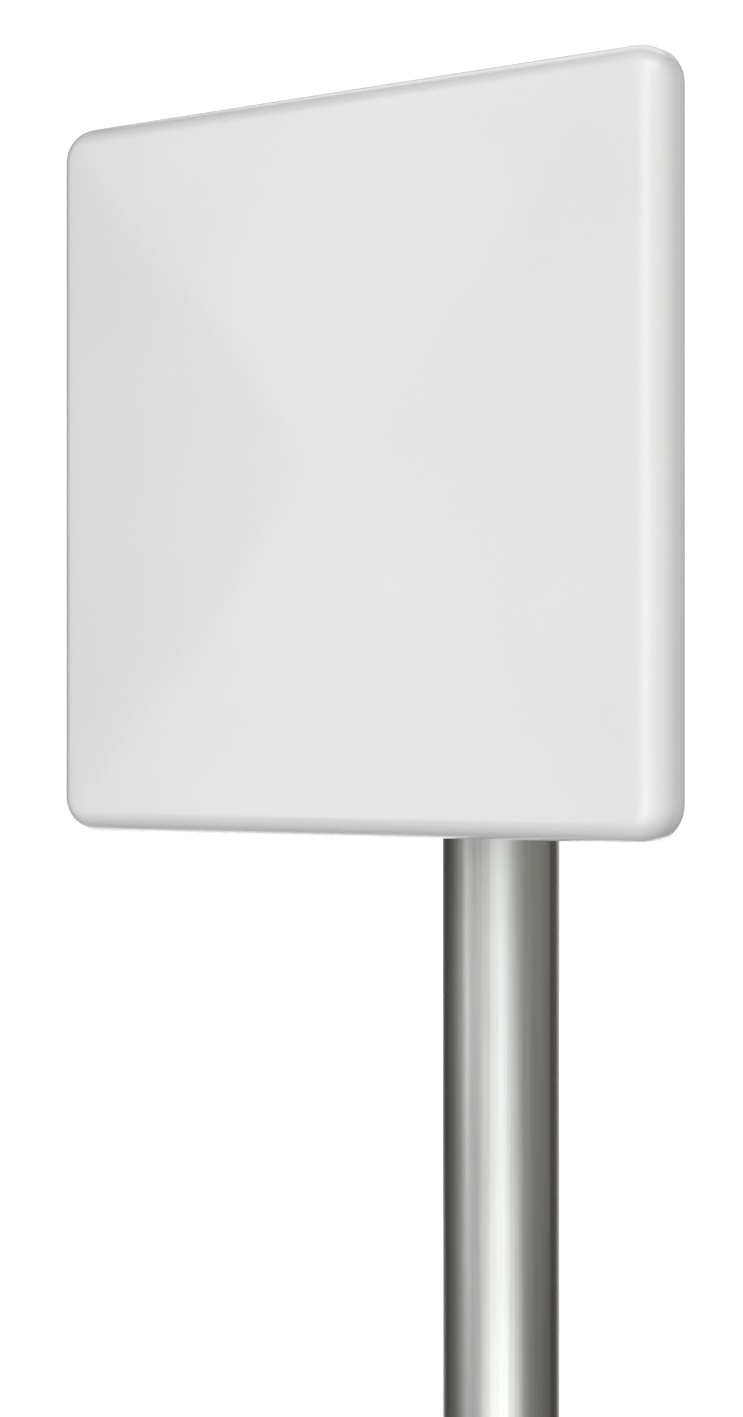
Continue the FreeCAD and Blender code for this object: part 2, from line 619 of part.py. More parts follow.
def connector_parts():
    flange_y = BACK_Y + SOCKET_GASKET_T
    barrel_y = flange_y + FLANGE_T
    mouth_y = barrel_y + BARREL
    centre = V(SOCKET_X, 0, SOCKET_Z)

    def on_axis(radius, y0, y1):
        return rod(radius, centre + V(0, y0, 0), centre + V(0, y1, 0))

    flange = slab(FLANGE, FLANGE, 2.5, flange_y, barrel_y, SOCKET_X, SOCKET_Z)
    barrel = on_axis(SOCKET_THREAD_R, barrel_y, mouth_y)
    body = fuse([flange, barrel, on_axis(6.0, BACK_Y - PLATE_T - 1, flange_y)])
    holes = [rod(M3_R + 0.2, p, p + V(0, FLANGE_T + 2, 0)) for p in flange_points(flange_y - 1)]
    body = cut(body, holes + [on_axis(SOCKET_BORE_R, BACK_Y - PLATE_T - 2, mouth_y + 1)])
    gasket = slab(FLANGE, FLANGE, 2.5, BACK_Y, flange_y, SOCKET_X, SOCKET_Z)
    gasket_holes = [rod(M3_R + 0.2, p, p + V(0, 3, 0)) for p in flange_points(BACK_Y - 1)]
    gasket = cut(gasket, gasket_holes + [on_axis(6.2, BACK_Y - 1, flange_y + 1)])
    contact_r, socket_r, face_y = 1.5, 0.83, mouth_y - 10.0
    inner_end = BACK_Y - PLATE_T - 1
    insulator = on_axis(SOCKET_BORE_R, inner_end, face_y).cut(on_axis(contact_r, inner_end - 1, face_y + 1))
    contact = fuse(
        [on_axis(contact_r, inner_end, mouth_y - 5.0), on_axis(0.8, inner_end - 2.6, inner_end)]
    ).cut(on_axis(socket_r, mouth_y - 11.0, mouth_y))
    slots = [
        box(SOCKET_X - 2, SOCKET_X + 2, mouth_y - 9.5, mouth_y, SOCKET_Z - 0.15, SOCKET_Z + 0.15),
        box(SOCKET_X - 0.15, SOCKET_X + 0.15, mouth_y - 9.5, mouth_y, SOCKET_Z - 2, SOCKET_Z + 2),
    ]
    screw = pan_screw(M3_R - TAP_PLAY, 2.7, 1.9, FLANGE_T + SOCKET_GASKET_T + PLATE_T)
    return {
        "connector_body": body,
        "connector_gasket": gasket,
        "connector_insulator": insulator,
        "connector_contact": cut(contact, slots),
        "connector_screws": group([place(screw, p, V(0, -1, 0)) for p in flange_points(barrel_y)]),
    }


# ---- small fittings on the back plate ----
def vent_point(y):
    return V(PATCH_PITCH, y, MID_Z - 118.0)


def ground_point(y):
    return V(PATCH_PITCH + 36.0, y, MID_Z - 118.0)


def fitting_parts():
    stem = place(shank(4.0, 3.4), vent_point(BACK_Y), V(0, -1, 0))
    vent = fuse([stem, place(vent_head(), vent_point(BACK_Y), Y_AXIS)])
    washer_t = 0.8
    ground = place(hex_bolt(M5_R - TAP_PLAY, 8.0, 3.5, 3.6), ground_point(BACK_Y + washer_t), V(0, -1, 0))
    label = slab(74.0, 44.0, 3.0, BACK_Y, BACK_Y + 0.25, PATCH_PITCH + 20.0, MID_Z + 100.0)
    return {
        "vent_plug": vent,
        "ground_screw": ground,
        "ground_washer": place(ring(M5_R + 0.1, 5.5, washer_t), ground_point(BACK_Y), Y_AXIS),
        "blank_label": label,
    }


def vent_head():
    """Round cap with six notches, which shelter the vent's membrane."""
    radius, height = 7.5, 3.2
    cap = rod(radius, V(0, 0, 0), V(0, 0, height))
    cap = cap.makeFillet(1.0, [e for e in cap.Edges if e.CenterOfMass.z > height - 0.1])
    around = [V(radius * math.cos(a), radius * math.sin(a), 0) for a in sixths()]
    notches = [rod(0.9, p - Z_AXIS, p + Z_AXIS * (height + 1)) for p in around]
    return cut(cap, notches)


def main():
    os.makedirs("parts", exist_ok=True)
    mounting = (mast_parts, clamp_parts, yoke_parts, bracket_parts)
    antenna = (housing_parts, feed_parts, connector_parts, fitting_parts)
    for make in mounting + antenna:
        for name, shape in make().items():
            shape.exportStep(f"parts/{name}.step")


main()
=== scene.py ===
import json
import math

import bmesh
import bpy
from mathutils import Matrix, Vector


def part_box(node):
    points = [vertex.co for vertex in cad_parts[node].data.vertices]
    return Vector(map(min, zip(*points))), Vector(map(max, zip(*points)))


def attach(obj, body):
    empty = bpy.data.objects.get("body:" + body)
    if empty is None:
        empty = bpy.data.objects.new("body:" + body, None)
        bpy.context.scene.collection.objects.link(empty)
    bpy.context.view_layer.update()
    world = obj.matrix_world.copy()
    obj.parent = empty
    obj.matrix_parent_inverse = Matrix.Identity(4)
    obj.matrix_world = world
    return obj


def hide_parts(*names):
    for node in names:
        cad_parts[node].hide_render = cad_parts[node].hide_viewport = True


# A flat panel antenna on a round mast, in metres. The antenna looks along -Y, and +Z is up the mast.

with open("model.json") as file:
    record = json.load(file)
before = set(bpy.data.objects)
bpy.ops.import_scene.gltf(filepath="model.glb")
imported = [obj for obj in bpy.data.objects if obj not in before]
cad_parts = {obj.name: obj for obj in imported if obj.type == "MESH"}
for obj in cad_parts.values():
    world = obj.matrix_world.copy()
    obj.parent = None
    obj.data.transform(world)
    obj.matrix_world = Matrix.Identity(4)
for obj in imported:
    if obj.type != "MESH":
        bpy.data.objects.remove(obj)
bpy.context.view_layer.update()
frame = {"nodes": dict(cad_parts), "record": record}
MM = 0.001
DEGREE = math.pi / 180
TURN = 2 * math.pi
ACROSS = Vector((1, 0, 0))
REARWARD = Vector((0, 1, 0))
UP = Vector((0, 0, 1))
CROWN = 5.0 * MM  # how far the middle of the radome's front stands out from its rim

# ---- camera: level, on the panel's +X side, a little above the panel's lower edge ----
CAMERA_BEARING = 36.64 * DEGREE  # from straight in front of the panel
CAMERA_DISTANCE = 1.2595  # from the middle of the front rim, along the view
CAMERA_ABOVE_EDGE = 0.0395
CAMERA_TO_RIGHT = 0.01466
LENS_MM = 78.9
HORIZON_SHIFT = 0.0221
NEAR_CLIP = 0.05
AHEAD = Vector((-math.sin(CAMERA_BEARING), math.cos(CAMERA_BEARING), 0))
RIGHT = Vector((math.cos(CAMERA_BEARING), math.sin(CAMERA_BEARING), 0))


def make_camera():
    low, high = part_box("radome")
    face = Vector((0, low.y + CROWN, low.z + CAMERA_ABOVE_EDGE))
    data = bpy.data.cameras.new("camera")
    data.lens = LENS_MM
    data.shift_y = HORIZON_SHIFT
    data.clip_start = NEAR_CLIP
    camera = bpy.data.objects.new("camera", data)
    camera.location = face + RIGHT * CAMERA_TO_RIGHT - AHEAD * CAMERA_DISTANCE
    camera.rotation_euler = (math.pi / 2, 0, CAMERA_BEARING)
    bpy.context.scene.collection.objects.link(camera)
    bpy.context.scene.camera = camera


# ---- lights, surroundings and floor ----
LIGHT_TARGET = Vector((0, -0.08, 0.38))  # just behind the panel, near its middle
LIGHT_DISTANCE = 2.4
WHITE = (1.0, 1.0, 1.0)
COOL = (0.98, 1.0, 0.995)
WARM = (1.0, 0.95, 0.86)
FLOOR_HALF = 30.0  # half the floor's side


def soft_box(name, bearing, elevation, width, height, radiance, colour=WHITE):
    """Area light turned to the target. Its bearing goes from the camera round to the camera's right."""
    a, e = bearing * DEGREE, elevation * DEGREE
    outward = (-AHEAD * math.cos(a) + RIGHT * math.sin(a)) * math.cos(e) + UP * math.sin(e)
    data = bpy.data.lights.new(name, "AREA")
    data.shape = "RECTANGLE"
    data.size = width
    data.size_y = height
    data.energy = radiance * math.pi * width * height
    data.color = colour
    light = bpy.data.objects.new(name, data)
    light.location = LIGHT_TARGET + outward * LIGHT_DISTANCE
    light.rotation_euler = outward.to_track_quat("Z", "Y").to_euler()
    light.visible_camera = False
    bpy.context.scene.collection.objects.link(light)


def make_lights():
    """Tall boxes round the front make the mast's bands of light. High, low and rear boxes fill in."""
    soft_box("key", -5, 4, 1.5, 2.4, 1.37, COOL)
    soft_box("key_left", -44, 4, 1.36, 2.4, 0.88)
    soft_box("left", -74, 4, 0.46, 2.4, 2.95)
    soft_box("far_left", -101, 4, 0.5, 2.4, 0.4, WARM)
    soft_box("right", 75, 4, 2.9, 2.2, 0.28, WARM)
    soft_box("high_right", 26, 46, 2.4, 1.4, 2.45)
    soft_box("low_front", 0, -12, 3.4, 0.6, 0.85)
    soft_box("low", 2, -37, 3.2, 1.5, 1.98)
    soft_box("behind_right", 160, 4, 1.2, 2.4, 1.3, WARM)
    soft_box("behind_left", -174, 4, 1.0, 2.4, 0.8, WARM)
    soft_box("behind_low", 180, -26, 1.8, 0.9, 1.6)
    soft_box("behind_high", 170, 55, 2.0, 1.4, 1.6)


def make_world():
    """White to the eye, and dim and slightly warm as a source of light, so that metal has dark edges."""
    world = bpy.data.worlds.new("studio")
    world.use_nodes = True
    tree = world.node_tree
    dim = tree.nodes["Background"]
    dim.inputs["Color"].default_value = (1.0, 0.97, 0.88, 1)
    dim.inputs["Strength"].default_value = 0.05
    white = tree.nodes.new("ShaderNodeBackground")
    white.inputs["Color"].default_value = (*WHITE, 1)
    white.inputs["Strength"].default_value = 1.1
    seen = tree.nodes.new("ShaderNodeLightPath").outputs["Is Camera Ray"]
    mix = tree.nodes.new("ShaderNodeMixShader")
    tree.links.new(seen, mix.inputs[0])
    tree.links.new(dim.outputs[0], mix.inputs[1])
    tree.links.new(white.outputs[0], mix.inputs[2])
    tree.links.new(mix.outputs[0], tree.nodes["World Output"].inputs["Surface"])
    bpy.context.scene.world = world


def make_floor():
    """Pale floor that glows a little and fades into the white surroundings. Metal doesn't mirror it."""
    half = FLOOR_HALF
    corners = [(-half, -half, 0), (half, -half, 0), (half, half, 0), (-half, half, 0)]
    mesh = bpy.data.meshes.new("floor")
    mesh.from_pydata(corners, [], [(0, 1, 2, 3)])
    floor = bpy.data.objects.new("floor", mesh)
    bpy.context.scene.collection.objects.link(floor)
    pale = Shader("pale_floor")
    mottle = pale.noise(3, 4)
    pale.set("Base Color", pale.colours(mottle, (0.86, 0.86, 0.86), (0.9, 0.9, 0.9)))
    pale.set("Roughness", 0.9)
    pale.set("Emission Color", (*WHITE, 1))
    pale.set("Emission Strength", pale.with_distance(near=0.3, far=3.0, near_value=0.6, far_value=1.0))
    mesh.materials.append(pale.material)
    floor.visible_glossy = False
    floor.visible_diffuse = False
    floor.visible_shadow = False


# ---- materials ----
NOISE_LOW, NOISE_HIGH = 0.3, 0.7  # most of a noise's values lie between these
COLOUR_A, COLOUR_B, COLOUR_OUT = 6, 7, 2  # places of the colour sockets on a Mix node


class Shader:
    """A material's nodes, with a short call for each kind used here. Object coordinates are in metres."""

    def __init__(self, name):
        self.material = bpy.data.materials.new(name)
        self.material.use_nodes = True
        self.tree = self.material.node_tree
        self.surface = self.tree.nodes["Principled BSDF"]
        self.place = self.add("ShaderNodeTexCoord").outputs["Object"]
        self.relief = None

    def add(self, kind, **settings):
        node = self.tree.nodes.new(kind)
        for key, value in settings.items():
            setattr(node, key, value)
        return node

    def join(self, socket, value):
        """Links a socket to another one, or sets it to a plain value."""
        if isinstance(value, bpy.types.NodeSocket):
            self.tree.links.new(value, socket)
        else:
            socket.default_value = value

    def set(self, name, value):
        self.join(self.surface.inputs[name], value)

    def stretched(self, stretch):
        node = self.add("ShaderNodeMapping")
        self.join(node.inputs["Vector"], self.place)
        node.inputs["Scale"].default_value = stretch
        return node.outputs[0]

    def noise(self, scale, detail=3, stretch=None):
        node = self.add("ShaderNodeTexNoise")
        self.join(node.inputs["Vector"], self.stretched(stretch) if stretch else self.place)
        node.inputs["Scale"].default_value = scale
        node.inputs["Detail"].default_value = detail
        return node.outputs["Fac"]

    def cells(self, scale, output):
        node = self.add("ShaderNodeTexVoronoi")
        self.join(node.inputs["Vector"], self.place)
        node.inputs["Scale"].default_value = scale
        return node.outputs[output]

    def mapped(self, value, from_low, from_high, to_low, to_high):
        node = self.add("ShaderNodeMapRange")
        self.join(node.inputs["Value"], value)
        limits = {"From Min": from_low, "From Max": from_high, "To Min": to_low, "To Max": to_high}
        for name, limit in limits.items():
            node.inputs[name].default_value = limit
        return node.outputs[0]

    def span(self, value, low, high):
        """Maps the usual range of a noise to low and high."""
        return self.mapped(value, NOISE_LOW, NOISE_HIGH, low, high)

    def with_distance(self, near, far, near_value, far_value):
        """Goes from one value to another with the distance from the object's origin."""
        length = self.add("ShaderNodeVectorMath", operation="LENGTH")
        self.join(length.inputs[0], self.place)
        return self.mapped(length.outputs["Value"], near, far, near_value, far_value)

    def mixed(self, factor, first, second, blend_type):
        node = self.add("ShaderNodeMix", data_type="RGBA", blend_type=blend_type)
        self.join(node.inputs["Factor"], factor)
        self.join(node.inputs[COLOUR_A], first)
        self.join(node.inputs[COLOUR_B], second)
        return node.outputs[COLOUR_OUT]

    def colours(self, value, low, high):
        """Goes from one colour to another with a noise."""
        return self.mixed(self.span(value, 0, 1), (*low, 1), (*high, 1), "MIX")

    def tint(self, colour, value, low, high):
        """Scales a colour's brightness by a noise, mapped to low and high."""
        level = self.span(value, low, high)
        grey = self.add("ShaderNodeCombineColor")
        for channel in ("Red", "Green", "Blue"):
            self.join(grey.inputs[channel], level)
        return self.mixed(1, colour, grey.outputs[0], "MULTIPLY")

    def bump(self, value, depth):
        """Adds relief of that depth, in metres, on top of any before it."""
        node = self.add("ShaderNodeBump")
        node.inputs["Distance"].default_value = depth
        self.join(node.inputs["Height"], value)
        if self.relief:
            self.join(node.inputs["Normal"], self.relief)
        self.relief = node.outputs[0]
        self.set("Normal", self.relief)


def radome_plastic():
    """Light grey-white weatherproof plastic, satin, with a fine moulded grain over a slight waviness."""
    s = Shader("radome_plastic")
    cloud = s.noise(9, 4)
    grain = s.noise(1500, 2)
    base = s.colours(cloud, (0.79, 0.79, 0.792), (0.813, 0.813, 0.814))
    s.set("Base Color", s.tint(base, grain, 0.985, 1.01))
    s.set("Roughness", s.span(s.noise(38, 3), 0.22, 0.26))
    s.bump(s.noise(55, 2), 0.02 * MM)
    s.bump(grain, 0.025 * MM)
    return s.material


def mast_steel():
    """Satin steel tube, with drawn streaks along its length and a few dull patches."""
    s = Shader("mast_steel")
    fine = s.noise(1500, 4, (1, 1, 0.006))
    broad = s.noise(230, 3, (1, 1, 0.012))
    patch = s.noise(26, 4, (1, 1, 0.4))
    base = s.colours(patch, (0.515, 0.523, 0.514), (0.566, 0.575, 0.565))
    s.set("Base Color", s.tint(base, fine, 0.9, 1.05))
    s.set("Metallic", 1.0)
    s.set("Roughness", s.span(broad, 0.36, 0.44))
    s.bump(fine, 0.012 * MM)
    s.bump(patch, 0.05 * MM)
    return s.material


def galvanised_steel():
    """Hot-dip zinc: crystals of different brightness and gloss over a fine grain."""
    s = Shader("galvanised_steel")
    crystals_per_metre = 230
    shade = s.add("ShaderNodeSeparateColor")
    s.join(shade.inputs[0], s.cells(crystals_per_metre, "Color"))
    base = s.colours(s.noise(45, 4), (0.5, 0.52, 0.54), (0.62, 0.63, 0.64))
    s.set("Base Color", s.tint(base, shade.outputs["Red"], 0.9, 1.03))
    s.set("Metallic", 1.0)
    s.set("Roughness", s.span(shade.outputs["Green"], 0.38, 0.47))
    s.bump(s.noise(900, 3), 0.015 * MM)
    s.bump(s.cells(crystals_per_metre, "Distance"), 0.015 * MM)
    return s.material


def metal(name, dark, light, roughness, grain, grain_depth, stretch=None):
    """Bare or plated metal with small changes of colour and gloss, and a grain."""
    s = Shader(name)
    patch = s.noise(70, 4)
    fine = s.noise(grain, 4, stretch)
    s.set("Base Color", s.tint(s.colours(patch, dark, light), fine, 0.93, 1.04))
    s.set("Metallic", 1.0)
    s.set("Roughness", s.span(s.noise(grain / 1.5, 4, stretch), roughness - 0.04, roughness + 0.04))
    s.bump(fine, grain_depth)
    return s.material


def moulded(name, dark, light, roughness, grain, grain_depth):
    """Plastic or rubber with a moulded grain."""
    s = Shader(name)
    fine = s.noise(grain, 3)
    s.set("Base Color", s.tint(s.colours(s.noise(60, 4), dark, light), fine, 0.94, 1.05))
    s.set("Roughness", s.span(s.noise(grain / 5, 3), roughness - 0.05, roughness + 0.05))
    s.bump(fine, grain_depth)
    return s.material


# name: dark and light colour, roughness, scale and depth of the grain
PLASTICS = {
    "gasket_rubber": ((0.02, 0.02, 0.021), (0.035, 0.035, 0.036), 0.7, 900, 0.02 * MM),
    "black_plastic": ((0.018, 0.018, 0.019), (0.03, 0.03, 0.031), 0.48, 1300, 0.03 * MM),
    "nylon": ((0.74, 0.72, 0.66), (0.82, 0.8, 0.74), 0.42, 700, 0.01 * MM),
    "white_insulator": ((0.84, 0.84, 0.82), (0.9, 0.9, 0.88), 0.35, 600, 0.005 * MM),
    "label_vinyl": ((0.6, 0.61, 0.62), (0.66, 0.67, 0.68), 0.33, 1100, 0.006 * MM),
}
BRUSHED_ACROSS = (0.012, 1, 1)
# the same, and how the grain is stretched where the metal is brushed
METALS = {
    "reflector_aluminium": (
        (0.54, 0.545, 0.55), (0.6, 0.605, 0.61), 0.42, 1400, 0.008 * MM, BRUSHED_ACROSS
    ),
    "cast_saddles": ((0.5, 0.505, 0.51), (0.6, 0.605, 0.61), 0.5, 420, 0.14 * MM),
    "zinc_fasteners": ((0.6, 0.63, 0.67), (0.7, 0.71, 0.72), 0.27, 1200, 0.01 * MM),
    "stainless_screws": ((0.52, 0.515, 0.5), (0.6, 0.595, 0.58), 0.25, 1500, 0.008 * MM),
    "brass_sheet": ((0.72, 0.52, 0.24), (0.8, 0.62, 0.32), 0.32, 1200, 0.008 * MM),
    "copper_line": ((0.72, 0.38, 0.25), (0.82, 0.47, 0.32), 0.3, 1200, 0.008 * MM),
    "nickel_plate": ((0.62, 0.6, 0.55), (0.7, 0.68, 0.63), 0.2, 1600, 0.006 * MM),
    "gold_contact": ((0.86, 0.6, 0.22), (0.94, 0.7, 0.3), 0.2, 1600, 0.004 * MM),
}
MATERIALS = {
    "radome_plastic": radome_plastic(),
    "mast_steel": mast_steel(),
    "galvanised_steel": galvanised_steel(),
}
MATERIALS.update({name: moulded(name, *values) for name, values in PLASTICS.items()})
MATERIALS.update({name: metal(name, *values) for name, values in METALS.items()})


def finish_cad_nodes():
    """Gives each CAD node the material that the record names for it."""
    for part in frame["record"]["subparts"]:
        node = frame["nodes"][part["node"]]
        for slot in node.material_slots:
            slot.material = MATERIALS[part["material_slot"]]


# ---- meshes ----
SAME_POINT = 0.0005 * MM
SHARP_TURN = 32 * DEGREE  # edges that turn more than this aren't smoothed


def add_piece(name, mesh, body, slot, *stands_for):
    mesh.materials.append(MATERIALS[slot])
    piece = bpy.data.objects.new(name, mesh)
    bpy.context.scene.collection.objects.link(piece)
    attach(piece, body)
    if stands_for:
        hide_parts(*stands_for)


def skin(name, row_sets):
    """One mesh from sets of rows. A set's rows are loops of as many points, or a lone point at an end."""
    points, faces = [], []
    for rows in row_sets:
        starts = []
        for row in rows:
            starts.append((len(points), len(row)))
            points.extend(row)
        for (a, size_a), (b, size_b) in zip(starts, starts[1:]):
            size = max(size_a, size_b)
            for n in range(size):
                m = (n + 1) % size
                if size_a == 1:
                    faces.append((a, b + m, b + n))
                elif size_b == 1:
                    faces.append((a + n, a + m, b))
                else:
                    faces.append((a + n, a + m, b + m, b + n))
    mesh = bpy.data.meshes.new(name)
    mesh.from_pydata(points, [], faces)
    work = bmesh.new()
    work.from_mesh(mesh)
    bmesh.ops.remove_doubles(work, verts=work.verts, dist=SAME_POINT)
    bmesh.ops.recalc_face_normals(work, faces=work.faces)
    work.to_mesh(mesh)
    work.free()
    mesh.shade_smooth()
    mesh.set_sharp_from_angle(angle=SHARP_TURN)
    return mesh


# ---- radome ----
CORNER_R = 15 * MM
EDGE_R = 9 * MM
EDGE_DEPTH = 13 * MM  # the front edge is rounded further back than in
FRONT_CORNER_R = 6 * MM  # of the corners at the inner end of the rounded edge
RIDGE_R = 7 * MM  # how softly the crown's four facets meet
RIDGE_BLEND = 12 * MM  # the corners take on the ridges' radius over this way in
CROWN_BLUNT = 0.05  # how rounded the crown's top is, as a share of the way in to it
WALL = 2.5 * MM
SIDE_WALL = 4 * MM
INNER_BEND = 5 * MM
LIP = 1.5 * MM  # wall left outside the rebate
SEAT = 3 * MM  # depth of the rebate that takes the gasket and back plate
NICK = 0.4 * MM  # taken off the rear rim's outer edge, and half that off its inner edge
CORNER_STEPS, SIDE_STEPS = 10, 14
INSIDE_STEPS, BEND_STEPS, EDGE_STEPS, CROWN_STEPS = 19, 6, 14, 46


def rounded_square(half, radius, y, middle):
    """Loop of points round an upright square with rounded corners."""
    radius = min(radius, half)
    flat = half - radius
    points = []
    for quarter in range(4):
        turn = Matrix.Rotation(-quarter * math.pi / 2, 3, "Y")
        for n in range(SIDE_STEPS):
            z = -flat + 2 * flat * n / SIDE_STEPS
            points.append(turn @ Vector((half, 0, z)))
        for n in range(CORNER_STEPS):
            a = math.pi / 2 * n / CORNER_STEPS
            points.append(turn @ Vector((flat + radius * math.cos(a), 0, flat + radius * math.sin(a))))
    return [Vector((p.x, y, middle + p.z)) for p in points]


def crown_height(inward, half):
    """Rise of the crown at a distance in from the side. Its top is slightly rounded."""
    share = (inward - EDGE_R) / (half - EDGE_R)
    left = math.sqrt((1 - share) ** 2 + CROWN_BLUNT**2) - CROWN_BLUNT
    return CROWN * (1 - left / (math.sqrt(1 + CROWN_BLUNT**2) - CROWN_BLUNT))


def radome_cover():
    """Closed shell in loops, from the middle of its inside out round the rear rim to the crown's top."""
    low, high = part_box("radome")
    half = (high.x - low.x) / 2
    middle = (high.z + low.z) / 2
    rear = high.y
    rim = low.y + CROWN

    def loop(inward, y, radius):
        return rounded_square(half - inward, radius, y, middle)

    # inside of the front, and its bend into the sides
    rows = [[Vector((0, low.y + WALL, middle))]]
    for n in range(1, INSIDE_STEPS + 1):
        inward = half - (half - SIDE_WALL - EDGE_R / 2) * n / INSIDE_STEPS
        rise = crown_height(max(inward, EDGE_R), half)
        rows.append(loop(inward, rim - rise + WALL, max(RIDGE_R, CORNER_R - inward)))
    for n in range(1, BEND_STEPS + 1):
        a = math.pi / 2 * n / BEND_STEPS
        inward = SIDE_WALL + INNER_BEND * (1 - math.sin(a))
        rows.append(loop(inward, rim + WALL + INNER_BEND * (1 - math.cos(a)), CORNER_R - inward))
    # rebate, rear rim and outside of the sides
    rows.append(loop(SIDE_WALL, rear - SEAT, CORNER_R - SIDE_WALL))
    rows.append(loop(LIP, rear - SEAT, CORNER_R - LIP))
    rows.append(loop(LIP, rear - NICK / 2, CORNER_R - LIP))
    rows.append(loop(LIP - NICK / 2, rear, CORNER_R - LIP))
    rows.append(loop(NICK, rear, CORNER_R - NICK))
    rows.append(loop(NICK / 4, rear - NICK / 4, CORNER_R))
    rows.append(loop(0, rear - NICK, CORNER_R))
    rows.append(loop(0, (rear + rim + EDGE_DEPTH) / 2, CORNER_R))
    # rounded front edge
    for n in range(EDGE_STEPS + 1):
        a = math.pi / 2 * n / EDGE_STEPS
        inward = EDGE_R * (1 - math.cos(a))
        radius = max(CORNER_R - inward, FRONT_CORNER_R)
        rows.append(loop(inward, rim + EDGE_DEPTH * (1 - math.sin(a)), radius))
    # crown
    for n in range(1, CROWN_STEPS):
        inward = EDGE_R + (half - EDGE_R) * n / CROWN_STEPS
        blend = min(1, (inward - EDGE_R) / RIDGE_BLEND)
        radius = FRONT_CORNER_R + (RIDGE_R - FRONT_CORNER_R) * blend
        rows.append(loop(inward, rim - crown_height(inward, half), radius))
    rows.append([Vector((0, rim - CROWN, middle))])
    add_piece("radome_cover", skin("radome_cover", [rows]), "antenna", "radome_plastic", "radome")


# ---- threads, bolts and studs ----
ROUND = 36  # points round a rod or a hexagon, a multiple of six
ANGLES = [TURN * n / ROUND for n in range(ROUND)]
ROWS_PER_PITCH = 6
PLAIN_STEP = 5 * MM  # between the rows of a straight stretch without a thread
THREAD_DEPTH = 0.6  # of the pitch, as are the next three
CREST_FLAT = 1 / 8
ROOT_FLAT = 1 / 4
END_BEVEL = 0.8
CREST_PLAY = 0.03 * MM  # the crests are that much under the nominal size
M8, M8_PITCH = 4.0 * MM, 1.25 * MM
M6, M6_PITCH = 3.0 * MM, 1.0 * MM
# radius, pitch and length of the thread, width across the head's flats, height of the head
M8_BOLT = (M8, M8_PITCH, 26 * MM, 13 * MM, 5.3 * MM)
M6_BOLT = (M6, M6_PITCH, 16 * MM, 10 * MM, 4 * MM)
HEAD_FACE = 0.95  # round face left on a head, as a share of its width across flats
HEAD_SLOPE = 30 * DEGREE  # of the cone that takes the head's corners off
HEAD_RIM = 0.7 * MM  # width of the flat ring round a head's dish, and of the dish's slope
HEAD_DISH = 0.3 * MM
STUD_PLAIN = 3 * MM  # front end without a thread
U_BOLT_THREAD = 32 * MM
U_BOLT_STEP = 1.5 * MM  # between the rows of the bent bar


def solids_of(node):
    """Lowest and highest corner of each separate solid of a CAD node."""
    work = bmesh.new()
    work.from_mesh(frame["nodes"][node].data)
    bmesh.ops.remove_doubles(work, verts=work.verts, dist=0.001 * MM)
    waiting = set(work.verts)
    boxes = []
    while waiting:
        front = [waiting.pop()]
        solid = list(front)
        while front:
            vertex = front.pop()
            joined = {edge.other_vert(vertex) for edge in vertex.link_edges} & waiting
            waiting -= joined
            front.extend(joined)
            solid.extend(joined)
        spread = [[vertex.co[axis] for vertex in solid] for axis in range(3)]
        low = Vector([min(values) for values in spread])
        high = Vector([max(values) for values in spread])
        boxes.append((low, high))
    work.free()
    return sorted(boxes, key=lambda box: [round(value, 4) for value in box[0]])


def groove(turns):
    """Share of a thread's depth at a distance in pitches: 0 on the flat crest, 1 at the flat root."""
    away = abs(2 * (turns % 1) - 1)
    return min(1, max(0, (1 - CREST_FLAT - away) / (1 - CREST_FLAT - ROOT_FLAT)))


def straight(origin, direction):
    """Route of a straight rod: its centre and two square directions at any distance along it."""
    turn = UP.rotation_difference(direction).to_matrix()
    return lambda along: (origin + direction * along, turn.col[0], turn.col[1])


def round_row(route, along, radii):
    """Loop round a route, with a radius for each of ANGLES."""
    centre, side, up = route(along)
    return [centre + (side * math.cos(a) + up * math.sin(a)) * r for a, r in zip(ANGLES, radii)]


def ring_row(route, along, radius):
    return round_row(route, along, [radius] * ROUND)


def point_row(route, along):
    return [route(along)[0]]


def hex_row(route, along, across_flats, turned=False):
    """Loop round a hexagon. If turned, it follows the cone that takes the corners off."""
    loop = []
    for angle in ANGLES:
        reach = across_flats / 2 / math.cos(angle % (TURN / 6) - TURN / 12)
        back = (reach - across_flats / 2 * HEAD_FACE) * math.tan(HEAD_SLOPE) if turned else 0
        centre, side, up = route(along + back)
        loop.append(centre + (side * math.cos(angle) + up * math.sin(angle)) * reach)
    return loop


def rod_rows(route, length, radius, pitch, threads, plain_step=PLAIN_STEP, blunt_start=False):
    """Loops along a rod. Each of threads is the start and end of a stretch at one of the rod's ends."""
    crest = radius - CREST_PLAY
    bevel = END_BEVEL * pitch

    def radius_at(along, angle):
        size = crest
        for start, end in threads:
            if start <= along <= end:
                inner = end - along if start == 0 else along - start
                depth = THREAD_DEPTH * pitch * min(1, inner / pitch)
                size -= depth * groove(along / pitch - angle / TURN)
        to_end = length - along if blunt_start else min(along, length - along)
        return min(size, crest - (bevel - min(bevel, to_end)))

    places = []
    along = 0
    while along < length:
        places.append(along)
        threaded = any(start <= along < end for start, end in threads)
        along += pitch / ROWS_PER_PITCH if threaded else plain_step
        for start, end in threads:
            if places[-1] < start < along:
                along = start
    places.append(length)
    return [round_row(route, along, [radius_at(along, a) for a in ANGLES]) for along in places]


